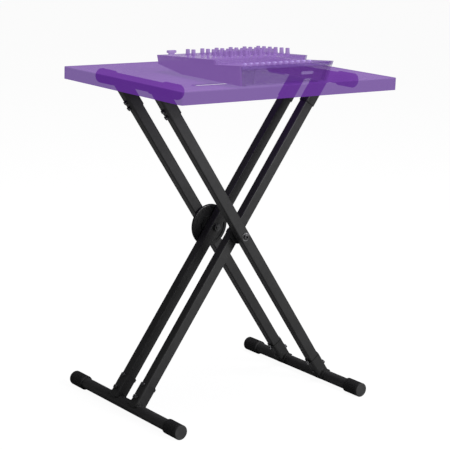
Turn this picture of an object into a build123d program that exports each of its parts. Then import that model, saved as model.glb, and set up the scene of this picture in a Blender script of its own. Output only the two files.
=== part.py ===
"""Double-braced folding X stand with a see-through table top and a mixing console.

Millimetres, +Z up. Everything is modelled about the hub, where the two pivot bolts cross the legs,
and write() then moves it so that the origin is on the floor, under the middle of the whole object.
"""
import os
from math import atan, cos, degrees, radians, sin

from build123d import *

# ---- driving dimensions -------------------------------------------------------------------------
# Legs: rectangular tubes that cross at the hub.
LEG_ANGLE = 34.86            # each leg's lean from vertical, degrees
LEG_LOWER = 516.3            # hub to foot bar axis, along a leg
LEG_UPPER = 483.7            # hub to arm axis, along a leg
LEG_WIDTH = 30.0             # across the leg, in the folding plane
LEG_DEPTH = 26.0             # along the hub axis
LEG_WALL = 1.6
LEG_CORNER = 3.5
OUTER_LEG_Y = 81.4           # leg centres either side of the middle
INNER_LEG_Y = 44.8

# Round bars: feet and arms.
BAR_D = 30.0
BAR_WALL = 1.6
FOOT_LENGTH = 487.0          # over the caps
ARM_LENGTH = 337.0
CAP_LENGTH = 55.0
CAP_END = 5.0                # thickness of a cap's closed end
FOOT_CAP_D = 38.0
ARM_CAP_D = 37.0
CAP_ROUND = 3.0
CAP_CHAMFER = 1.2
CAP_GROOVES = 28
CAP_GROOVE_D = 1.8
CAP_GROOVE_STOPS = (4.0, 7.0)    # plain lengths left at the mouth and at the closed end
CAP_FLAT = 0.3               # depth of the flat worn on a foot cap's underside
FIT_GAP = 0.05               # face to face gap between pieces of one frame

# Sockets that hold the bars on the leg ends.
SOCKET_WALL = 2.4
FOOT_SOCKET_REACH = 67.0     # from the bar axis, along the leg
ARM_SOCKET_REACH = 87.0
SADDLE_R = 18.3
SADDLE_HALF = 22.0           # half length along the bar
SADDLE_SHORT = 4.0           # how far short of the bar's axis it stops
BOLT_D = 6.0
BOLT_HEAD_R = 5.5
BOLT_HEAD_H = 3.0
FOOT_BOLT_Z = (-490.0, -453.0)   # along the leg from the hub
ARM_BOLT_Z = (424.0, 406.0)
FOOT_NUT = (6.2, 7.5)        # radius over the lobes, height
ARM_NUT = (6.0, 5.5)
NUT_LOBES = 6

# Hub.
PIVOT_D = 10.0
RUNNING_GAP = 0.05           # radial clearance of a running fit
SIDE_GAP = 0.4               # between faces that turn past each other
SLEEVE_D = 14.0
PIVOT_HEAD_D = 16.0
PIVOT_HEAD_H = 5.0
PIVOT_KEY = 6.0              # across the flats of the socket in the bolt's head
PIVOT_KEY_FLOOR = 1.5
PIVOT_PAST_NUT = 2.0
WASHER_D = 22.0
WASHER_T = 1.5
NUT_AF = 17.0
NUT_H = 8.0
SPACER_D = 48.0
DISC_D = 113.0
DISC_T = 8.0
DISC_GAP = 0.6               # the boss holds the disc's rim off the leg by this
DISC_RIM = 9.0
DISC_DISH = 2.2
DISC_DISH_D = 52.0           # where the dish ends round the boss
DISC_BOSS_D = 44.0
DISC_HOLE_D = 8.6
DISC_WEB = (3.0, 3.8)        # the thin web across each hole, from the disc's near face
LOCK_RADIUS = 46.0           # hub to the lock pin, along the leg
LOCK_STEP = 18.0             # degrees between locking holes
LOCK_HOLES = range(-3, 3)    # hole 0 meets the pin when the stand is open
SCREW_OFFSET = 17.0          # disc screws, either side of the pivot along the leg
SCREW_D = 4.9
SCREW_HEAD_D = 9.4
SCREW_HEAD_H = 2.7
SCREW_SUNK = 0.2
SCREW_GRIP = 4.6             # length inside the leg
PIN_D = 8.0
PIN_TRAVEL = 8.0
PIN_OUT = 11.0               # past the leg's far face
BUSH_AF = 16.0
BUSH_FLANGE = 3.0
COLLAR_D = 12.0
COLLAR_T = 2.0
SPRING_TURNS = 4
SPRING_PITCH = 1.5
SPRING_WIRE = 1.1
SPRING_R = 4.9
PULL_KNOB_D = 16.0
PULL_KNOB_H = 9.0
PULL_NECK_D = 11.0

# Table top: a thin sheet turned down along its near and left sides.
TABLE_X = (-360.5, 303.0)
TABLE_Y = (-298.0, 211.0)
TABLE_T = 3.0
TABLE_APRON = 31.0           # height of the near and left aprons, sheet included
TABLE_CORNER = 4.0
TABLE_ROUND = 1.2            # along the sheet's top edges
SLOT_X = (-268.0, -130.0)
SLOT_Y = -211.0
SLOT_WIDTH = 22.0

# Console: a wedge that stands on the table top with its tall side level with the near rim.
CONSOLE_X = (-192.0, 75.0)   # base
CONSOLE_FLARE = 12.0         # each side leans out by this at full height
CONSOLE_NEAR = -294.0
CONSOLE_LEAN = 8.0           # the near face leans out by this
CONSOLE_FAR = 34.0
NEAR_H = 49.0                # top of the near edge above the tub's underside
STEP_Y = -203.0              # where the control deck steps up
STEP_LOW = 41.0
STEP_HIGH = 52.0
FAR_TOP = 38.0
FAR_NOSE = 15.0              # underside of the far edge
NOSE_Y = -60.0               # where the underside starts to rise
PAD_H = 3.0
PAD_R = 8.0
PAD_INSET = (24.0, 18.0)
CHEEK_T = 6.0
CHEEK_ROUND = 1.5
TUB_WALL = 3.0
DECK_T = 2.0
PANEL_X = (-154.0, 58.0)     # window for the connector panel
PANEL_Z = (4.0, 37.0)
PANEL_RECESS = 1.2
PANEL_T = 1.6
BLANK_SIZE = (37.0, 7.0)
BLANK_T = 2.2
BLANK_RIM = 1.6
BLANK_FLOOR = 1.2
BLANK_AT = (7.0, 23.5)
CORNER_AT = (-163.0, 24.0)
CORNER_STEM = (15.0, 7.0, 4.0)
CORNER_SIZE = (24.0, 12.0, 6.5)
CORNER_ROUND = 3.0
JACK_COUNT = 12
JACK_PITCH = 18.0
JACK_FIRST = (-152.0, -258.0)
JACK_THREAD = 6.0
JACK_BORE = 3.6
JACK_NUT_AF = 9.0
JACK_NUT_H = 1.6
JACK_ABOVE = 2.8
JACK_BELOW = 6.0
KNOB_COLUMNS = 6
KNOB_ROWS = 6
SHORT_ROWS = 4               # this many near rows leave out the first column
TURNING_KNOBS = 8            # knobs with a node of their own, nearest row first
KNOB_PITCH = (44.3, 23.3)
KNOB_FIRST = (-152.0, -146.5)
KNOB_BASE_D = 12.5
KNOB_TOP_D = 9.5
KNOB_H = 15.0
KNOB_SKIRT_H = 2.5
KNOB_TAPER = 2.2             # degrees
KNOB_LIFT = 0.4              # gap under a knob's skirt
KNOB_FLUTES = 10
FLUTE_R = 0.8
POINTER = 1.0                # width and depth of the pointer groove
SHAFT_D = 6.0
SHAFT_H = 9.0

# Gaps and cutting tools.
REST_GAP = 0.3               # between a piece and whatever it rests on
THROUGH = 1.0                # how far a tool runs past the face it cuts
REACH = 60.0                 # half size of a tool that clears a whole leg or bar
WIDE = 480.0                 # wider than the console

# ---- worked out from the above ------------------------------------------------------------------
LEAN = radians(LEG_ANGLE)
FOOT_X, FOOT_Z = LEG_LOWER * sin(LEAN), -LEG_LOWER * cos(LEAN)
ARM_X, ARM_Z = LEG_UPPER * sin(LEAN), LEG_UPPER * cos(LEAN)
FLOOR_Z = FOOT_Z - FOOT_CAP_D / 2 + CAP_FLAT
TABLE_UNDER = ARM_Z + ARM_CAP_D / 2 + REST_GAP
TABLE_TOP = TABLE_UNDER + TABLE_T
BOX_X = (min(TABLE_X[0], -FOOT_X - FOOT_CAP_D / 2), max(TABLE_X[1], FOOT_X + FOOT_CAP_D / 2))
BOX_Y = (min(TABLE_Y[0], CONSOLE_NEAR - CONSOLE_LEAN), max(TABLE_Y[1], FOOT_LENGTH / 2))
HUB = Vector(-sum(BOX_X) / 2, -sum(BOX_Y) / 2, -FLOOR_Z)
BASE_Z = TABLE_TOP + REST_GAP + PAD_H    # underside of the console's tub

NEAR, FAR = -1, 1
OUTER, INNER = -1, 1         # which way a frame's upper end leans, along X


def write(node, *solids):
    """Save one node, moved from the hub's frame to the object's."""
    shape = solids[0] if len(solids) == 1 else Compound(children=list(solids))
    export_step(Pos(*HUB) * shape, f"parts/{node}.step")


# ---- small shapes -------------------------------------------------------------------------------
def rod(diameter, y0, y1, x=0.0, z=0.0):
    """Solid cylinder along Y from y0 to y1."""
    return Pos(x, (y0 + y1) / 2, z) * Rot(X=90) * Cylinder(diameter / 2, y1 - y0)


def cross_rod(diameter, x0, x1, y=0.0, z=0.0):
    """Solid cylinder along X from x0 to x1."""
    return Pos((x0 + x1) / 2, y, z) * Rot(Y=90) * Cylinder(diameter / 2, x1 - x0)


def block(x, y, z):
    """Box given by its three (low, high) pairs."""
    size = [high - low for low, high in (x, y, z)]
    middle = [(low + high) / 2 for low, high in (x, y, z)]
    return Pos(*middle) * Box(*size)


def rounded_bar(width, depth, corner, z0, z1):
    """Upright bar of rounded rectangular section from z0 to z1."""
    section = Pos(0, 0, z0) * RectangleRounded(width, depth, corner)
    return extrude(section, z1 - z0)


def leg_profile(margin, z0, z1):
    """The leg tube's outer section, grown by margin on every face."""
    return rounded_bar(LEG_WIDTH + 2 * margin, LEG_DEPTH + 2 * margin, LEG_CORNER + margin, z0, z1)


def post(radius, height):
    """Upright cylinder that stands on the XY plane, or hangs from it when height is negative."""
    return extrude(Circle(radius), height)


def lobed_nut(size):
    """Hand nut with rounded lobes, built upright from its seat; size is radius and height."""
    radius, height = size
    lobe = radius * 0.23
    body = Circle(radius - lobe)
    for i in range(NUT_LOBES):
        body += Rot(Z=360 / NUT_LOBES * i) * Pos(radius - lobe, 0) * Circle(lobe)
    nut = extrude(body, height)
    return chamfer(nut.faces().sort_by(Axis.Z)[-1].edges(), lobe * 0.35)


def domed_head():
    """Shallow domed bolt head, built upright from its seat."""
    head = post(BOLT_HEAD_R, BOLT_HEAD_H)
    return fillet(head.edges().group_by(Axis.Z)[-1], BOLT_HEAD_H * 0.6)


# ---- one leg frame, in its own upright frame (leg along Z, outward side of the top at -X) ---------
def to_lean(shape, frame):
    """Lean an upright outer-type shape; the inner frame is its mirror image."""
    leaned = Rot(Y=-LEG_ANGLE) * shape
    return leaned if frame == OUTER else mirror(leaned, about=Plane.YZ)


def make_leg(frame, y):
    """Hollow leg tube, coped to the bars, with a hole for the pivot."""
    tube = leg_profile(0, -LEG_LOWER, LEG_UPPER) - leg_profile(-LEG_WALL, -LEG_LOWER, LEG_UPPER)
    for z in (-LEG_LOWER, LEG_UPPER):
        tube -= rod(BAR_D + 2 * FIT_GAP, -REACH, REACH, z=z)
    tube -= rod(PIVOT_D if frame == OUTER else SLEEVE_D, -REACH, REACH)
    tube = max(tube.solids(), key=lambda solid: solid.volume)
    if frame == OUTER and y > 0:
        tube -= rod(PIN_D + 2 * RUNNING_GAP, -REACH, 0, z=LOCK_RADIUS)
        tube -= rod(SLEEVE_D, 0, REACH, z=LOCK_RADIUS)
    if frame == INNER and y > 0:
        for z in (-SCREW_OFFSET, SCREW_OFFSET):
            tube -= rod(SCREW_D, 0, REACH, z=z)
    return to_lean(Pos(0, y, 0) * tube, frame)


def make_bar(length, z, frame):
    """Round tube, shorter than its caps by their closed ends."""
    half = length / 2 - CAP_END
    tube = rod(BAR_D, -half, half, z=z) - rod(BAR_D - 2 * BAR_WALL, -half, half, z=z)
    return to_lean(tube, frame)


def make_cap(diameter, length, side, floor_flat):
    """Grooved rubber cap for the end of a bar that lies along Y through the origin."""
    end = length / 2
    mouth = end - CAP_LENGTH
    cap = rod(diameter, mouth, end)
    cap = fillet(cap.edges().filter_by(GeomType.CIRCLE).sort_by(Axis.Y)[-1:], CAP_ROUND)
    cap = chamfer(cap.edges().filter_by(GeomType.CIRCLE).sort_by(Axis.Y)[:1], CAP_CHAMFER)
    cap -= rod(BAR_D + 2 * FIT_GAP, mouth, end - CAP_END)
    for i in range(CAP_GROOVES):
        angle = radians(360 / CAP_GROOVES * (i + 0.5))
        x, z = diameter / 2 * sin(angle), diameter / 2 * cos(angle)
        cap -= rod(CAP_GROOVE_D, mouth + CAP_GROOVE_STOPS[0], end - CAP_GROOVE_STOPS[1], x=x, z=z)
    if floor_flat:
        flat_z = -diameter / 2 + CAP_FLAT
        cap -= block((-REACH, REACH), (mouth - THROUGH, end + THROUGH), (flat_z - THROUGH, flat_z))
    return cap if side == FAR else mirror(cap, about=Plane.XZ)


def make_socket(reach, bar_z, frame, y, bolt_heights):
    """Sleeve round the end of a leg, with a saddle over the bar and holes for two cross bolts."""
    toward_hub = -1 if bar_z > 0 else 1
    mouth = bar_z + toward_hub * reach
    stop = bar_z + toward_hub * SADDLE_SHORT
    low, high = min(mouth, bar_z), max(mouth, bar_z)
    saddle = rod(2 * SADDLE_R, -SADDLE_HALF, SADDLE_HALF, z=bar_z)
    saddle &= block((-REACH, REACH), (-REACH, REACH), (min(mouth, stop), max(mouth, stop)))
    socket = leg_profile(SOCKET_WALL, low, high) + saddle
    socket -= leg_profile(FIT_GAP, low - THROUGH, high + THROUGH)
    socket -= rod(BAR_D + 2 * FIT_GAP, -REACH, REACH, z=bar_z)
    for z in bolt_heights:
        socket -= cross_rod(BOLT_D, -REACH, REACH, z=z)
    socket = max(socket.solids(), key=lambda solid: solid.volume)
    return to_lean(Pos(0, y, 0) * socket, frame)


def cross_bolt(y, z, nut_side, nut_size):
    """Bolt through a socket: a hand nut on one side and a domed head on the other."""
    seat = LEG_WIDTH / 2 + SOCKET_WALL
    bolt = cross_rod(BOLT_D, -seat, seat, z=z)
    bolt += Pos(nut_side * seat, 0, z) * Rot(Y=90 * nut_side) * lobed_nut(nut_size)
    bolt += Pos(-nut_side * seat, 0, z) * Rot(Y=-90 * nut_side) * domed_head()
    return Pos(0, y, 0) * bolt


def make_foot_bolts(frame, leg_y):
    """Two cross bolts in each foot socket: the lower nut faces out, the upper one faces in."""
    low, high = FOOT_BOLT_Z
    bolts = []
    for y in (-leg_y, leg_y):
        bolts.append(cross_bolt(y, low, 1, FOOT_NUT))
        bolts.append(cross_bolt(y, high, -1, FOOT_NUT))
    return [to_lean(bolt, frame) for bolt in bolts]


def make_arm_bolts(frame, leg_y):
    """Two cross bolts in each arm socket, with both nuts on the outward side."""
    bolts = [cross_bolt(y, z, -1, ARM_NUT) for y in (-leg_y, leg_y) for z in ARM_BOLT_Z]
    return [to_lean(bolt, frame) for bolt in bolts]


def drill_leg_for_bolts(leg, frame, y):
    """Clear the cross bolts' path through a leg tube."""
    for z in FOOT_BOLT_Z + ARM_BOLT_Z:
        leg -= to_lean(cross_rod(BOLT_D, -REACH, REACH, y=y, z=z), frame)
    return leg


def build_frame(name, frame, leg_y):
    """Write every piece of one leg frame."""
    foot_x = -frame * FOOT_X
    arm_x = frame * ARM_X
    write(f"{name}_foot_bar", make_bar(FOOT_LENGTH, -LEG_LOWER, frame))
    write(f"{name}_arm_bar", make_bar(ARM_LENGTH, LEG_UPPER, frame))
    for word, side in (("near", NEAR), ("far", FAR)):
        y = side * leg_y
        write(f"{name}_leg_{word}", drill_leg_for_bolts(make_leg(frame, y), frame, y))
        foot_cap = make_cap(FOOT_CAP_D, FOOT_LENGTH, side, floor_flat=True)
        write(f"{name}_foot_cap_{word}", Pos(foot_x, 0, FOOT_Z) * foot_cap)
        arm_cap = make_cap(ARM_CAP_D, ARM_LENGTH, side, floor_flat=False)
        write(f"{name}_arm_cap_{word}", Pos(arm_x, 0, ARM_Z) * arm_cap)
        write(f"{name}_foot_socket_{word}",
              make_socket(FOOT_SOCKET_REACH, -LEG_LOWER, frame, y, FOOT_BOLT_Z))
        write(f"{name}_arm_socket_{word}",
              make_socket(ARM_SOCKET_REACH, LEG_UPPER, frame, y, ARM_BOLT_Z))
    write(f"{name}_foot_bolts", *make_foot_bolts(frame, leg_y))
    write(f"{name}_arm_bolts", *make_arm_bolts(frame, leg_y))


# ---- hub ----------------------------------------------------------------------------------------
INNER_FACE = INNER_LEG_Y - LEG_DEPTH / 2         # inside face of an inner leg
INNER_BACK = INNER_LEG_Y + LEG_DEPTH / 2         # outside face of an inner leg
OUTER_FACE = OUTER_LEG_Y - LEG_DEPTH / 2
OUTER_BACK = OUTER_LEG_Y + LEG_DEPTH / 2
DISC_FACE = INNER_BACK + DISC_T
LOCK_X, LOCK_Z = -LOCK_RADIUS * sin(LEAN), LOCK_RADIUS * cos(LEAN)
DISC_SCREWS = [(side * SCREW_OFFSET * sin(LEAN), side * SCREW_OFFSET * cos(LEAN)) for side in (-1, 1)]
SCREW_SEAT = DISC_FACE - SCREW_HEAD_H - SCREW_SUNK
PIN_TIP = DISC_FACE + SIDE_GAP                   # just withdrawn from the disc
PIN_END = OUTER_BACK + PIN_OUT
COLLAR_Y = OUTER_FACE + LEG_WALL + SIDE_GAP / 2
SPRING_Y = COLLAR_Y + COLLAR_T + 2 * FIT_GAP
SPRING_END = SPRING_Y + SPRING_TURNS * SPRING_PITCH + SPRING_WIRE
BUSH_Y = SPRING_END + PIN_TRAVEL + SIDE_GAP      # the pulled spring stays clear of the bush
KNOB_Y = OUTER_BACK + BUSH_FLANGE + THROUGH


def both_sides(shape):
    """The far-side shape and its near-side mirror image."""
    return shape, mirror(shape, about=Plane.XZ)


def hexagon_rod(across_flats, y0, y1):
    """Hexagonal bar along Y from y0 to y1."""
    section = Plane.XZ.offset(-y0) * RegularPolygon(across_flats / 2, 6, major_radius=False)
    return extrude(section, -(y1 - y0))


def make_pivot_bolt():
    """Far pivot bolt, with a socket head outside the outer leg and its tip past the nut."""
    under_head = OUTER_BACK + WASHER_T
    top = under_head + PIVOT_HEAD_H
    tip = INNER_FACE - SIDE_GAP - NUT_H - PIVOT_PAST_NUT
    head = rod(PIVOT_HEAD_D, under_head, top)
    head = fillet(head.edges().sort_by(Axis.Y)[-1:], PIVOT_HEAD_H / 3)
    head -= hexagon_rod(PIVOT_KEY, under_head + PIVOT_KEY_FLOOR, top + THROUGH)
    return head + rod(PIVOT_D, tip, under_head)


def make_pivot_nut():
    """Nut on the pivot bolt's inner end, clear of the turning leg by the side gap."""
    inner = INNER_FACE - SIDE_GAP
    nut = hexagon_rod(NUT_AF, inner - NUT_H, inner) & rod(NUT_AF * 1.12, inner - NUT_H, inner)
    return nut - rod(PIVOT_D, inner - NUT_H - THROUGH, inner + THROUGH)


def make_washer():
    """Washer under the pivot bolt's head."""
    washer = rod(WASHER_D, OUTER_BACK, OUTER_BACK + WASHER_T)
    return washer - rod(PIVOT_D, OUTER_BACK - THROUGH, OUTER_BACK + WASHER_T + THROUGH)


def make_pivot_sleeve():
    """Bearing sleeve through the inner leg."""
    sleeve = rod(SLEEVE_D, INNER_FACE, INNER_BACK)
    return sleeve - rod(PIVOT_D + 2 * RUNNING_GAP, INNER_FACE - THROUGH, INNER_BACK + THROUGH)


def make_spacer():
    """Round spacer on the near inner leg, facing the near outer leg."""
    disc = rod(SPACER_D, -(OUTER_FACE - SIDE_GAP), -INNER_BACK)
    disc = fillet(disc.edges().filter_by(GeomType.CIRCLE), 1.5)
    return disc - rod(PIVOT_D + 2 * RUNNING_GAP, -OUTER_FACE, 0)


def make_lock_disc():
    """Dished disc on the far inner leg, with a ring of locking holes and a boss at its middle."""
    below, above = INNER_BACK - THROUGH, DISC_FACE + THROUGH
    underside = INNER_BACK + DISC_GAP
    disc = rod(DISC_D, underside, DISC_FACE)
    disc = fillet(disc.edges().filter_by(GeomType.CIRCLE), 2.8)
    disc += rod(DISC_BOSS_D, INNER_BACK, DISC_FACE)
    disc -= rod(DISC_D - 2 * DISC_RIM, below, underside + DISC_DISH) - rod(DISC_DISH_D, below, above)
    disc -= rod(PIVOT_D + 2 * RUNNING_GAP, below, above)
    for step in LOCK_HOLES:
        angle = radians(90 + LEG_ANGLE + step * LOCK_STEP)
        x, z = LOCK_RADIUS * cos(angle), LOCK_RADIUS * sin(angle)
        disc -= rod(DISC_HOLE_D, below, underside + DISC_WEB[0], x=x, z=z)
        disc -= rod(DISC_HOLE_D, underside + DISC_WEB[1], above, x=x, z=z)
    for x, z in DISC_SCREWS:
        disc -= rod(SCREW_D + 2 * RUNNING_GAP, below, above, x=x, z=z)
        disc -= rod(SCREW_HEAD_D + 0.6, SCREW_SEAT, above, x=x, z=z)
    return disc


def make_disc_screw(x, z):
    """Screw sunk in the lock disc's far face and tapped into the leg's wall."""
    screw = rod(SCREW_HEAD_D, SCREW_SEAT, SCREW_SEAT + SCREW_HEAD_H, x=x, z=z)
    return screw + rod(SCREW_D, INNER_BACK - SCREW_GRIP, SCREW_SEAT, x=x, z=z)


def make_lock_bush():
    """Guide bush in the far wall of the far outer leg."""
    flange = OUTER_BACK + BUSH_FLANGE
    body = rod(SLEEVE_D, BUSH_Y, OUTER_BACK) + hexagon_rod(BUSH_AF, OUTER_BACK, flange)
    body -= rod(PIN_D + 2 * RUNNING_GAP, BUSH_Y - THROUGH, flange + THROUGH)
    return Pos(LOCK_X, 0, LOCK_Z) * body


def make_lock_pin():
    """Pin with a collar inside the leg; it slides out along +Y."""
    pin = rod(PIN_D, PIN_TIP, PIN_END)
    pin = chamfer(pin.edges().sort_by(Axis.Y)[:1], 0.8)
    pin += rod(COLLAR_D, COLLAR_Y, COLLAR_Y + COLLAR_T)
    return Pos(LOCK_X, 0, LOCK_Z) * pin


def make_lock_knob():
    """Low pull knob, waisted for a fingertip grip."""
    inside, neck, rim = PIN_D / 2, PULL_NECK_D / 2, PULL_KNOB_D / 2
    top = KNOB_Y + PULL_KNOB_H
    outline = [(inside, KNOB_Y), (neck, KNOB_Y), (neck, KNOB_Y + 2), (rim, KNOB_Y + 4), (rim, top - 2),
               (rim - 2, top), (inside, top), (inside, KNOB_Y)]
    knob = revolve(make_face(Polyline(*outline)), Axis.Y)
    return Pos(LOCK_X, 0, LOCK_Z) * knob


def make_lock_spring():
    """Coil spring round the pin, drawn at its pulled length."""
    height = SPRING_TURNS * SPRING_PITCH
    path = Helix(SPRING_PITCH, height, SPRING_R)
    wire = Plane(path @ 0, z_dir=path % 0) * Circle(SPRING_WIRE / 2)
    coil = Rot(X=-90) * sweep(wire, path=path, is_frenet=True)
    return Pos(LOCK_X, SPRING_Y + SPRING_WIRE / 2, LOCK_Z) * coil


def build_hub():
    """Write the pivot, the lock disc and the lock pin."""
    write("pivot_bolts", *both_sides(make_pivot_bolt()))
    write("pivot_nuts", *both_sides(make_pivot_nut()))
    write("pivot_washers", *both_sides(make_washer()))
    write("pivot_sleeves", *both_sides(make_pivot_sleeve()))
    write("hub_spacer", make_spacer())
    write("lock_disc", make_lock_disc())
    write("lock_disc_screws", *[make_disc_screw(x, z) for x, z in DISC_SCREWS])
    write("lock_bush", make_lock_bush())
    write("lock_pin", make_lock_pin())
    write("lock_knob", make_lock_knob())
    write("lock_spring", make_lock_spring())


# ---- table top ----------------------------------------------------------------------------------
def make_table():
    """Thin sheet with an apron along its near and left sides, and a cable slot."""
    x0, x1 = TABLE_X
    y0, y1 = TABLE_Y
    middle = ((x0 + x1) / 2, (y0 + y1) / 2)
    outer = RectangleRounded(x1 - x0, y1 - y0, TABLE_CORNER)
    inner = RectangleRounded(x1 - x0 - 2 * TABLE_T, y1 - y0 - 2 * TABLE_T, TABLE_CORNER - TABLE_T)
    bottom = TABLE_TOP - TABLE_APRON
    tray = Pos(*middle, bottom) * extrude(outer, TABLE_APRON)
    tray = fillet(tray.faces().sort_by(Axis.Z)[-1].edges(), TABLE_ROUND)
    tray -= Pos(*middle, bottom - THROUGH) * extrude(inner, TABLE_APRON - TABLE_T + THROUGH)
    below = (bottom - THROUGH, TABLE_UNDER)
    tray -= block((x1 - TABLE_T, x1 + THROUGH), (y0 + TABLE_CORNER, y1 + THROUGH), below)
    tray -= block((x0 + TABLE_CORNER, x1 + THROUGH), (y1 - TABLE_T, y1 + THROUGH), below)
    slot = extrude(SlotOverall(SLOT_X[1] - SLOT_X[0], SLOT_WIDTH), TABLE_T + 2 * THROUGH)
    return tray - Pos(sum(SLOT_X) / 2, SLOT_Y, TABLE_UNDER - THROUGH) * slot


def build_table():
    """Write the table top."""
    write("table_tray", make_table())


# ---- console ------------------------------------------------------------------------------------
NEAR_TOP_Y = CONSOLE_NEAR - CONSOLE_LEAN         # the near face leans out to here at its top
DECK_SLOPE = (STEP_HIGH - FAR_TOP) / (CONSOLE_FAR - STEP_Y)
DECK_TILT = degrees(atan(DECK_SLOPE))            # the control deck falls away by this
LIP_Y = STEP_Y + DECK_T                          # inside of the control deck's turned-down lip
JACK_SLOPE = (NEAR_H - STEP_LOW) / (STEP_Y - NEAR_TOP_Y)
JACK_TILT = degrees(atan(JACK_SLOPE))            # the jack deck falls toward the step by this


def near_face_y(z):
    """Y of the leaning near face at height z above the tub's underside."""
    return CONSOLE_NEAR - CONSOLE_LEAN * z / NEAR_H


def control_deck_z(y):
    """Top of the control deck above the tub's underside."""
    return STEP_HIGH - DECK_SLOPE * (y - STEP_Y)


def side_prism(points):
    """Solid with a (y, z) outline, z above the tub's underside, right across the console."""
    outline = [(y, BASE_Z + z) for y, z in points]
    face = Plane.YZ * make_face(Polyline(*outline, close=True))
    return extrude(face, WIDE / 2, both=True)


def between_sides(body, inset):
    """Keep what lies between the two leaning sides, moved in by inset."""
    low, high = CONSOLE_X[0] + inset, CONSOLE_X[1] - inset
    spread = CONSOLE_FLARE / STEP_HIGH
    points = [(low + spread * REACH, BASE_Z - REACH), (high - spread * REACH, BASE_Z - REACH),
              (high + spread * 2 * REACH, BASE_Z + 2 * REACH), (low - spread * 2 * REACH, BASE_Z + 2 * REACH)]
    keep = extrude(Plane.XZ * make_face(Polyline(*points, close=True)), WIDE, both=True)
    return body & keep


def whole_outline():
    """Side view of the whole console."""
    return [(CONSOLE_NEAR, 0), (NOSE_Y, 0), (CONSOLE_FAR, FAR_NOSE), (CONSOLE_FAR, FAR_TOP),
            (STEP_Y, STEP_HIGH), (STEP_Y, STEP_LOW), (NEAR_TOP_Y, NEAR_H)]


def make_tub():
    """Lower shell: floor, near wall, far wall and side walls, open under the two decks."""
    under_deck = near_face_y(NEAR_H - DECK_T), NEAR_H - DECK_T
    outer = side_prism([(CONSOLE_NEAR, 0), (NOSE_Y, 0), (CONSOLE_FAR, FAR_NOSE),
                        (CONSOLE_FAR, FAR_TOP - DECK_T), (LIP_Y, control_deck_z(LIP_Y) - DECK_T),
                        (LIP_Y, STEP_LOW - DECK_T), (STEP_Y, STEP_LOW - DECK_T), under_deck])
    inner = side_prism([(CONSOLE_NEAR + TUB_WALL, TUB_WALL), (NOSE_Y, TUB_WALL),
                        (CONSOLE_FAR - TUB_WALL, FAR_NOSE + TUB_WALL),
                        (CONSOLE_FAR - TUB_WALL, STEP_HIGH), (NEAR_TOP_Y + TUB_WALL, STEP_HIGH)])
    tub = between_sides(outer, CHEEK_T) - between_sides(inner, CHEEK_T + TUB_WALL)
    window_z = [BASE_Z + z for z in PANEL_Z]
    return tub - block(PANEL_X, (NEAR_TOP_Y - THROUGH, CONSOLE_NEAR + TUB_WALL + THROUGH), window_z)


def make_cheek(side):
    """Leaning side panel with the console's outline and softened edges."""
    cheek = between_sides(side_prism(whole_outline()), 0)
    cheek -= between_sides(side_prism(whole_outline()), CHEEK_T)
    cheek = min(cheek.solids(), key=lambda solid: side * -solid.center().X)
    broad_faces = cheek.faces().sort_by(SortBy.AREA)[-2:]
    rim = broad_faces.sort_by(Axis.X)[0 if side < 0 else -1].edges()
    return cheek.fillet(CHEEK_ROUND, rim)


def make_jack_deck():
    """Lower deck along the tall side, with a row of holes for the jack sockets."""
    deck = side_prism([(NEAR_TOP_Y, NEAR_H), (STEP_Y, STEP_LOW), (STEP_Y, STEP_LOW - DECK_T),
                       (near_face_y(NEAR_H - DECK_T), NEAR_H - DECK_T)])
    deck = between_sides(deck, CHEEK_T)
    for place in jack_places():
        deck -= place * Cylinder(JACK_THREAD / 2, REACH)
    return deck


def make_control_deck():
    """Upper deck with a lip down to the jack deck and a bored hole for every knob's shaft."""
    deck = side_prism([(STEP_Y, STEP_HIGH), (CONSOLE_FAR, FAR_TOP), (CONSOLE_FAR, FAR_TOP - DECK_T),
                       (LIP_Y, control_deck_z(LIP_Y) - DECK_T), (LIP_Y, STEP_LOW - DECK_T),
                       (STEP_Y, STEP_LOW - DECK_T)])
    deck = between_sides(deck, CHEEK_T)
    for place in knob_places():
        deck -= place * Cylinder(SHAFT_D / 2 + RUNNING_GAP, REACH)
    return deck


def make_connector_panel():
    """Plate set back in the window of the tub's near wall."""
    front = side_prism([(y + PANEL_RECESS, z) for y, z in whole_outline()])
    back = side_prism([(y + PANEL_RECESS + PANEL_T, z) for y, z in whole_outline()])
    window_x = (PANEL_X[0] + FIT_GAP, PANEL_X[1] - FIT_GAP)
    window_z = (BASE_Z + PANEL_Z[0] + FIT_GAP, BASE_Z + PANEL_Z[1] - FIT_GAP)
    return (front & block(window_x, (NEAR_TOP_Y, CONSOLE_NEAR + REACH), window_z)) - back


def on_near_face(shape, x, z, depth):
    """Place a shape, built along +Z, so that it stands out of the near face."""
    lean = degrees(atan(CONSOLE_LEAN / NEAR_H))
    return Pos(x, near_face_y(z) + depth, BASE_Z + z) * Rot(X=90 + lean) * shape


def make_blank_plate():
    """Rounded plate with a raised rim on the connector panel; it carries no marking."""
    length, height = BLANK_SIZE
    plate = extrude(SlotOverall(length, height), BLANK_T)
    dish = extrude(SlotOverall(length - 2 * BLANK_RIM, height - 2 * BLANK_RIM), BLANK_T)
    return on_near_face(plate - Pos(0, 0, BLANK_FLOOR) * dish, *BLANK_AT, PANEL_RECESS)


def jack_places():
    """Where each jack socket stands on the jack deck, square to it."""
    x, y = JACK_FIRST
    z = BASE_Z + NEAR_H - JACK_SLOPE * (y - NEAR_TOP_Y)
    return [Pos(x + JACK_PITCH * i, y, z) * Rot(X=-JACK_TILT) for i in range(JACK_COUNT)]


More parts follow.
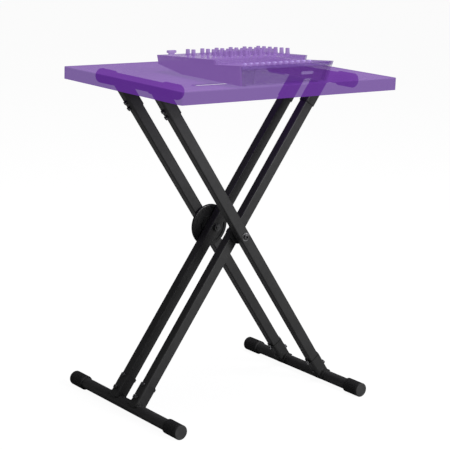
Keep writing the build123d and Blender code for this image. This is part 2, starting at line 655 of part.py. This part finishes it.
def make_jack_socket():
    """Jack socket, built upright: threaded barrel, hexagonal nut above the deck, open bore."""
    body = post(JACK_THREAD / 2, -JACK_BELOW) + post(JACK_THREAD / 2, JACK_ABOVE)
    nut = extrude(RegularPolygon(JACK_NUT_AF / 2, 6, major_radius=False), JACK_NUT_H)
    body += nut & post(JACK_NUT_AF * 0.54, JACK_NUT_H)
    return body - Cylinder(JACK_BORE / 2, REACH)


def knob_places():
    """Where each knob stands on the control deck, square to it, the nearest row first."""
    places = []
    for row in range(KNOB_ROWS):
        y = KNOB_FIRST[1] + KNOB_PITCH[1] * row
        for column in range(1 if row < SHORT_ROWS else 0, KNOB_COLUMNS):
            x = KNOB_FIRST[0] + KNOB_PITCH[0] * column
            places.append(Pos(x, y, BASE_Z + control_deck_z(y)) * Rot(X=-DECK_TILT))
    return places


def make_knob():
    """Fluted rotary knob, built upright, with a pointer groove and a shaft that runs in the deck."""
    skirt = post(KNOB_BASE_D / 2, KNOB_SKIRT_H)
    foot_r = KNOB_TOP_D / 2 + FLUTE_R
    body = extrude(Circle(foot_r), KNOB_H, taper=KNOB_TAPER)
    body = fillet(body.faces().sort_by(Axis.Z)[-1].edges(), FLUTE_R)
    flute = Pos(foot_r, 0, KNOB_SKIRT_H) * post(FLUTE_R, KNOB_H)
    for i in range(KNOB_FLUTES):
        body -= Rot(Z=360 / KNOB_FLUTES * i) * flute
    body -= block((-POINTER / 2, POINTER / 2), (0, foot_r), (KNOB_H - POINTER, KNOB_H + THROUGH))
    return Pos(0, 0, KNOB_LIFT) * (skirt + body + post(SHAFT_D / 2, -SHAFT_H))


def make_corner_block():
    """Small hooded block on a stem, in the far left corner of the control deck."""
    height = control_deck_z(CORNER_AT[1])
    on_base = (Align.CENTER, Align.CENTER, Align.MIN)
    hood = Box(*CORNER_SIZE, align=on_base)
    hood = fillet(hood.edges().filter_by(Axis.Z), CORNER_ROUND)
    hood = fillet(hood.faces().sort_by(Axis.Z)[-1].edges(), CORNER_ROUND / 2)
    hood = Box(*CORNER_STEM, align=on_base) + Pos(0, 0, CORNER_STEM[2]) * hood
    return Pos(*CORNER_AT, BASE_Z + height) * Rot(X=-DECK_TILT) * hood


def make_feet():
    """Four rubber pads under the flat part of the tub."""
    pad = post(PAD_R, -PAD_H)
    pad = chamfer(pad.faces().sort_by(Axis.Z)[0].edges(), PAD_H / 5)
    inset_x, inset_y = PAD_INSET
    return [Pos(x, y, BASE_Z) * pad for x in (CONSOLE_X[0] + inset_x, CONSOLE_X[1] - inset_x)
            for y in (CONSOLE_NEAR + inset_y, NOSE_Y - inset_y)]


def build_console():
    """Write the console: shell, decks, sockets, knobs and feet."""
    write("console_tub", make_tub())
    write("console_cheek_left", make_cheek(-1))
    write("console_cheek_right", make_cheek(1))
    write("jack_deck", make_jack_deck())
    write("control_deck", make_control_deck())
    write("connector_panel", make_connector_panel())
    write("blank_plate", make_blank_plate())
    write("jack_sockets", *[place * make_jack_socket() for place in jack_places()])
    write("corner_block", make_corner_block())
    write("console_feet", *make_feet())
    knobs = [place * make_knob() for place in knob_places()]
    for number, knob in enumerate(knobs[:TURNING_KNOBS], start=1):
        write(f"knob_{number}", knob)
    write("knob_bank", *knobs[TURNING_KNOBS:])


if __name__ == "__main__":
    os.makedirs("parts", exist_ok=True)
    build_frame("outer", OUTER, OUTER_LEG_Y)
    build_frame("inner", INNER, INNER_LEG_Y)
    build_hub()
    build_table()
    build_console()
    print("hub", [round(v, 3) for v in HUB], "table top", round(TABLE_TOP + HUB.Z, 3),
          "arm", round(ARM_X, 3), round(ARM_Z + HUB.Z, 3))
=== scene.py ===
"""Looks for the folding X stand with its see-through table top and console.

Every piece keeps its CAD shape and gets a procedural finish here. Metres, in the CAD frame.
"""
import math

import bpy
from mathutils import Matrix, Vector

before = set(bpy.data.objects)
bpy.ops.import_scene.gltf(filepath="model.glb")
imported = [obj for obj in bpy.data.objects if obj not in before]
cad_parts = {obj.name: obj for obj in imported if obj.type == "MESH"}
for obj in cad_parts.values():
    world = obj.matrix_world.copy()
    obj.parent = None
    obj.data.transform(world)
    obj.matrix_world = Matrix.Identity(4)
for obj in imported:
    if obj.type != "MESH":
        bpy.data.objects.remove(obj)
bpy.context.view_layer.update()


# ---- node helpers -------------------------------------------------------------------------------
class Finish:
    """One material built round a Principled shader, with short calls for its pattern nodes."""

    def __init__(self, name, **values):
        self.material = bpy.data.materials.new(name)
        self.material.use_nodes = True
        self.tree = self.material.node_tree
        self.shader = self.tree.nodes["Principled BSDF"]
        for label, value in values.items():
            self.shader.inputs[label.replace("_", " ")].default_value = value

    def add(self, kind, **settings):
        """New node of that kind with its settings."""
        node = self.tree.nodes.new("ShaderNode" + kind)
        for label, value in settings.items():
            setattr(node, label, value)
        return node

    def put(self, source, target):
        """Join an output, or set a plain number, to an input."""
        if isinstance(source, (int, float)):
            target.default_value = source
        else:
            self.tree.links.new(source, target)

    def place(self, stretch=(1, 1, 1)):
        """Position on the object, stretched along its axes."""
        mapping = self.add("Mapping")
        mapping.inputs["Scale"].default_value = stretch
        self.put(self.add("TexCoord").outputs["Object"], mapping.inputs["Vector"])
        return mapping.outputs["Vector"]

    def noise(self, scale, detail=2.0, stretch=(1, 1, 1)):
        """Noise from 0 to 1, with scale cells in a metre."""
        node = self.add("TexNoise")
        node.inputs["Scale"].default_value = scale
        node.inputs["Detail"].default_value = detail
        self.put(self.place(stretch), node.inputs["Vector"])
        return node.outputs["Fac"]

    def remap(self, value, low, high, to_low=0.0, to_high=1.0):
        """value moved from low..high to to_low..to_high, and held there."""
        node = self.add("MapRange")
        self.put(value, node.inputs["Value"])
        ends = (("From Min", low), ("From Max", high), ("To Min", to_low), ("To Max", to_high))
        for label, end in ends:
            node.inputs[label].default_value = end
        return node.outputs["Result"]

    def sum(self, operation, a, b):
        """a and b joined by one arithmetic step."""
        node = self.add("Math", operation=operation)
        self.put(a, node.inputs[0])
        self.put(b, node.inputs[1])
        return node.outputs[0]

    def blend(self, factor, low, high):
        """Colour from low to high as factor goes from 0 to 1."""
        node = self.add("Mix", data_type="RGBA")
        self.put(factor, node.inputs["Factor"])
        for index, colour in ((6, low), (7, high)):
            if isinstance(colour, tuple):
                node.inputs[index].default_value = (*colour, 1.0)
            else:
                self.put(colour, node.inputs[index])
        return node.outputs[2]

    def edges(self, radius, low=0.02, high=0.25):
        """1 on edges sharper than radius, and 0 on flat faces."""
        bevel = self.add("Bevel", samples=4)
        bevel.inputs["Radius"].default_value = radius
        dot = self.add("VectorMath", operation="DOT_PRODUCT")
        self.put(bevel.outputs[0], dot.inputs[0])
        self.put(self.add("NewGeometry").outputs["Normal"], dot.inputs[1])
        return self.remap(self.sum("SUBTRACT", 1.0, dot.outputs["Value"]), low, high)

    def facing(self, axis):
        """How squarely a surface faces along that axis of the object, either way."""
        split = self.add("SeparateXYZ")
        self.put(self.add("TexCoord").outputs["Normal"], split.inputs[0])
        return self.sum("ABSOLUTE", split.outputs[axis], 0.0)

    def height(self):
        """Metres above the floor with the object at rest."""
        split = self.add("SeparateXYZ")
        self.put(self.place(), split.inputs[0])
        return split.outputs["Z"]

    def thicken(self, mask, tone, alpha, deeper, denser):
        """Alpha from alpha to denser as mask goes from 0 to 1, and the colour from tone to deeper."""
        self.put(self.remap(mask, 0.0, 1.0, alpha, denser), self.shader.inputs["Alpha"])
        return self.blend(mask, tone, deeper)

    def colour(self, source):
        self.put(source, self.shader.inputs["Base Color"])

    def roughness(self, source):
        self.put(source, self.shader.inputs["Roughness"])

    def bump(self, height, strength, distance):
        """Relief of that height in metres where height is 1."""
        node = self.add("Bump")
        node.inputs["Strength"].default_value = strength
        node.inputs["Distance"].default_value = distance
        self.put(height, node.inputs["Height"])
        self.put(node.outputs[0], self.shader.inputs["Normal"])


# ---- black finishes of the stand ----------------------------------------------------------------
def powder_coat(name, base, painted_dark_corner, roughness):
    """Satin powder coat: fine orange peel, uneven gloss, and rounded corners painted darker, a painted
    reflection of the dark room between the lamps.
    """
    finish = Finish(name, Specular_IOR_Level=0.5)
    patches = finish.noise(14.0, 3.0)
    tone = finish.blend(finish.remap(patches, 0.35, 0.65), base, tuple(1.35 * c for c in base))
    # Rounded corners get the darker corner colour: a painted reflection, not a paint colour.
    finish.colour(finish.blend(finish.edges(0.003), tone, painted_dark_corner))
    finish.roughness(finish.remap(finish.noise(90.0, 3.0), 0.3, 0.7, roughness - 0.06, roughness + 0.08))
    finish.bump(finish.noise(1100.0, 1.0), 0.25, 0.0002)
    return finish.material


def frame_paint():
    return powder_coat("frame_paint", (0.022, 0.022, 0.0225), (0.006, 0.006, 0.006), 0.44)


def socket_paint():
    return powder_coat("socket_paint", (0.019, 0.019, 0.0195), (0.006, 0.006, 0.006), 0.4)


def disc_paint():
    """Darker and smoother than the tubes."""
    return powder_coat("disc_paint", (0.006, 0.006, 0.0065), (0.003, 0.003, 0.003), 0.36)


def cap_rubber():
    """Matte moulded rubber: fine grain, dust in the grooves, and ends painted paler as painted light, with
    scuffs varying their tone.
    """
    finish = Finish("cap_rubber", Specular_IOR_Level=0.35)
    grain = finish.noise(700.0, 3.0)
    side = finish.blend(finish.remap(grain, 0.3, 0.7), (0.014, 0.014, 0.0145), (0.022, 0.022, 0.0225))
    scuffs = finish.remap(finish.noise(45.0, 5.0), 0.35, 0.7)
    # Faces along the arm's axis are painted paler than the sides: painted light, with scuff noise in it.
    end = finish.blend(scuffs, (0.036, 0.036, 0.037), (0.05, 0.05, 0.051))
    painted_light_on_ends = finish.remap(finish.facing("Y"), 0.7, 0.95)
    finish.colour(finish.blend(painted_light_on_ends, side, end))
    finish.roughness(finish.remap(grain, 0.3, 0.7, 0.62, 0.8))
    finish.bump(grain, 0.35, 0.0003)
    return finish.material


def spacer_plastic():
    """Black nylon with a faint moulded grain."""
    finish = Finish("spacer_plastic", Specular_IOR_Level=0.4)
    grain = finish.noise(500.0, 2.0)
    finish.colour(finish.blend(grain, (0.004, 0.004, 0.0045), (0.009, 0.009, 0.0095)))
    finish.roughness(finish.remap(grain, 0.3, 0.7, 0.42, 0.58))
    finish.bump(grain, 0.2, 0.0002)
    return finish.material


def plated_steel(name, dark, light, roughness):
    """Plated steel with turning marks round the bolt's axis and brighter rubbed edges."""
    finish = Finish(name, Metallic=1.0)
    marks = finish.noise(220.0, 4.0, stretch=(1, 6, 1))
    tone = finish.blend(finish.remap(marks, 0.3, 0.7), dark, light)
    finish.colour(finish.blend(finish.edges(0.0006), tone, tuple(min(1.0, 1.6 * c) for c in light)))
    finish.roughness(finish.remap(marks, 0.3, 0.7, roughness - 0.07, roughness + 0.1))
    finish.bump(marks, 0.1, 0.0001)
    return finish.material


def fastener_steel():
    return plated_steel("fastener_steel", (0.09, 0.09, 0.093), (0.16, 0.16, 0.165), 0.38)


def washer_steel():
    return plated_steel("washer_steel", (0.3, 0.3, 0.31), (0.45, 0.45, 0.46), 0.34)


# ---- see-through purple finishes, glowing with painted light ------------------------------------
RIM_BAND = (0.898, 0.906)                    # heights over which the console's walls thicken


def purple_plastic(name, deep, pale, glow, alpha, roughness=0.3, cloud=9.0, gloss=0.12, painted_shade_sides=None, rim=None):
    """Tinted plastic: soft cloudy colour, a painted glow (emission) standing in for light scattered inside it
    that keeps shaded faces bright, a fine ripple and hairline scratches.

    The colour and alpha given for the sides paint upright faces darker, as painted shade, and make them less
    clear;
    rim holds those of the thick top of the console's walls.
    """
    # Painted glow: the emission makes every face shine with its own purple, though the plastic is no lamp.
    finish = Finish(name, Alpha=alpha, IOR=1.49, Specular_IOR_Level=gloss,
                    Emission_Color=(*glow, 1.0), Emission_Strength=1.0)
    finish.material.use_transparent_shadow = True
    drift = finish.remap(finish.noise(cloud, 3.0), 0.3, 0.7)
    tone = finish.blend(drift, deep, pale)
    if painted_shade_sides:
        # Upright faces: a darker colour, painted shade, and more alpha.
        tone = finish.thicken(finish.remap(finish.facing("Z"), 0.8, 0.3), tone, alpha, *painted_shade_sides)
    if rim:
        tone = finish.thicken(finish.remap(finish.height(), *RIM_BAND), tone, alpha, *rim)
    finish.colour(finish.blend(finish.edges(0.0015), tone, tuple(0.8 * c for c in deep)))
    scratches = finish.remap(finish.noise(260.0, 5.0, stretch=(0.08, 1, 1)), 0.62, 0.72)
    finish.roughness(finish.remap(scratches, 0.0, 1.0, roughness, roughness + 0.18))
    finish.bump(finish.noise(420.0, 2.0), 0.12, 0.0002)
    return finish.material


def table_acrylic():
    # The colour given for the sides is painted shade on the table's upright faces.
    return purple_plastic("table_acrylic", (0.08, 0.022, 0.138), (0.1, 0.032, 0.163), (0.104, 0.026, 0.25),
                          0.635, roughness=0.42, gloss=0.06, painted_shade_sides=((0.042, 0.014, 0.07), 0.69))


def console_shell():
    """Nearly clear, so that the legs behind the console show."""
    return purple_plastic("console_shell", (0.01, 0.001, 0.03), (0.02, 0.002, 0.04), (0.02, 0.001, 0.06),
                          0.11, rim=((0.21, 0.12, 0.38), 0.5))


def console_cheek():
    """Nearly solid."""
    return purple_plastic("console_cheek", (0.03, 0.015, 0.045), (0.04, 0.02, 0.055), (0.185, 0.095, 0.325),
                          0.82)


def console_deck():
    return purple_plastic("console_deck", (0.1, 0.06, 0.14), (0.12, 0.08, 0.17), (0.18, 0.095, 0.32), 0.55)


def console_panel():
    return purple_plastic("console_panel", (0.05, 0.02, 0.1), (0.06, 0.03, 0.12), (0.05, 0.02, 0.1), 0.11)


def plate_plastic():
    return purple_plastic("plate_plastic", (0.2, 0.14, 0.3), (0.24, 0.17, 0.34), (0.1, 0.06, 0.18), 0.6,
                          roughness=0.4)


def socket_metal():
    """Plated sockets, tinted by the plastic round them."""
    return purple_plastic("socket_metal", (0.3, 0.22, 0.42), (0.4, 0.3, 0.5), (0.25, 0.18, 0.4), 0.7,
                          gloss=0.4)


def knob_plastic():
    return purple_plastic("knob_plastic", (0.14, 0.09, 0.22), (0.22, 0.15, 0.32), (0.17, 0.09, 0.28), 0.7,
                          roughness=0.4, cloud=60.0)


FINISHES = (frame_paint, socket_paint, disc_paint, cap_rubber, spacer_plastic, fastener_steel, washer_steel,
            table_acrylic, console_shell, console_cheek, console_deck, console_panel, plate_plastic,
            socket_metal, knob_plastic)


def paint_nodes():
    """Give every CAD piece the finish made for its material slot."""
    made = {make.__name__: make() for make in FINISHES}
    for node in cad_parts.values():
        for slot in node.material_slots:
            slot.material = made[slot.material.name.split(".")[0]]


# ---- floor, light and camera --------------------------------------------------------------------
FLOOR_HALF = 40.0
FLOOR_GLOW = 0.95                            # with the light that falls on it, as white as the backdrop
ROOM_LIGHT = 0.12
LIGHTS = (                                   # name, place, width, watts
    ("key", (1.6, -4.0, 2.3), 2.4, 175.0),
    ("top", (0.3, -0.3, 4.5), 2.4, 120.0),
)
FACES_SEEN_THROUGH = 24                      # see-through faces that one line of sight may cross
AIM = Vector((0.0279, 0.0289, 0.4539))       # what the camera looks straight at
CAMERA_AZIMUTH = math.radians(37.69)         # from +Y towards +X
CAMERA_DROP = math.radians(12.895)
CAMERA_ROLL = math.radians(2.0)
CAMERA_DISTANCE = 3.8358
CAMERA_LENS = 117.58                         # on a sensor 36 mm wide


def camera_shares(tree, shown, lit):
    """shown where the camera looks, and lit for light that bounces."""
    mix = tree.nodes.new("ShaderNodeMixShader")
    tree.links.new(tree.nodes.new("ShaderNodeLightPath").outputs["Is Camera Ray"], mix.inputs[0])
    tree.links.new(lit, mix.inputs[1])
    tree.links.new(shown, mix.inputs[2])
    return mix.outputs[0]


def make_floor():
    """Plain pale floor, bright enough to pass into the backdrop, with faint shadows."""
    mesh = bpy.data.meshes.new("floor")
    corners = [(x * FLOOR_HALF, y * FLOOR_HALF, 0.0) for x, y in ((-1, -1), (1, -1), (1, 1), (-1, 1))]
    mesh.from_pydata(corners, [], [(0, 1, 2, 3)])
    floor = bpy.data.objects.new("floor", mesh)
    bpy.context.scene.collection.objects.link(floor)
    material = bpy.data.materials.new("floor_white")
    material.use_nodes = True
    tree = material.node_tree
    tree.nodes.clear()
    glow = tree.nodes.new("ShaderNodeEmission")
    glow.inputs["Strength"].default_value = FLOOR_GLOW
    pale, dim = (tree.nodes.new("ShaderNodeBsdfDiffuse") for _ in range(2))
    pale.inputs["Color"].default_value = (0.1, 0.1, 0.1, 1)
    dim.inputs["Color"].default_value = (0.3, 0.3, 0.3, 1)
    both = tree.nodes.new("ShaderNodeAddShader")
    tree.links.new(glow.outputs[0], both.inputs[0])
    tree.links.new(pale.outputs[0], both.inputs[1])
    output = tree.nodes.new("ShaderNodeOutputMaterial")
    tree.links.new(camera_shares(tree, both.outputs[0], dim.outputs[0]), output.inputs[0])
    mesh.materials.append(material)


def make_world():
    """White backdrop with a softer, dimmer room for light."""
    world = bpy.data.worlds.new("studio")
    bpy.context.scene.world = world
    world.use_nodes = True
    tree = world.node_tree
    tree.nodes.clear()
    white, room = (tree.nodes.new("ShaderNodeBackground") for _ in range(2))
    white.inputs["Color"].default_value = (1, 1, 1, 1)
    room.inputs["Color"].default_value = (1, 1, 1, 1)
    room.inputs["Strength"].default_value = ROOM_LIGHT
    output = tree.nodes.new("ShaderNodeOutputWorld")
    tree.links.new(camera_shares(tree, white.outputs[0], room.outputs[0]), output.inputs[0])


def make_light(name, place, size, power):
    """Soft square panel aimed at the middle of the object."""
    light = bpy.data.lights.new(name, "AREA")
    light.size = size
    light.energy = power
    panel = bpy.data.objects.new(name, light)
    bpy.context.scene.collection.objects.link(panel)
    panel.location = place
    panel.rotation_euler = (AIM - Vector(place)).to_track_quat("-Z", "Y").to_euler()


def make_camera():
    """Camera at its azimuth, drop and roll about the point it aims at."""
    forward = Vector((math.sin(CAMERA_AZIMUTH) * math.cos(CAMERA_DROP),
                      math.cos(CAMERA_AZIMUTH) * math.cos(CAMERA_DROP), -math.sin(CAMERA_DROP)))
    turn = forward.to_track_quat("-Z", "Y").to_matrix() @ Matrix.Rotation(CAMERA_ROLL, 3, "Z")
    data = bpy.data.cameras.new("camera")
    data.lens = CAMERA_LENS
    data.sensor_width = 36.0
    camera = bpy.data.objects.new("camera", data)
    bpy.context.scene.collection.objects.link(camera)
    camera.matrix_world = Matrix.Translation(AIM - forward * CAMERA_DISTANCE) @ turn.to_4x4()
    bpy.context.scene.camera = camera


paint_nodes()
make_floor()
make_world()
for light_settings in LIGHTS:
    make_light(*light_settings)
make_camera()
bpy.context.scene.cycles.transparent_max_bounces = FACES_SEEN_THROUGH
bpy.context.scene.view_settings.view_transform = "Standard"
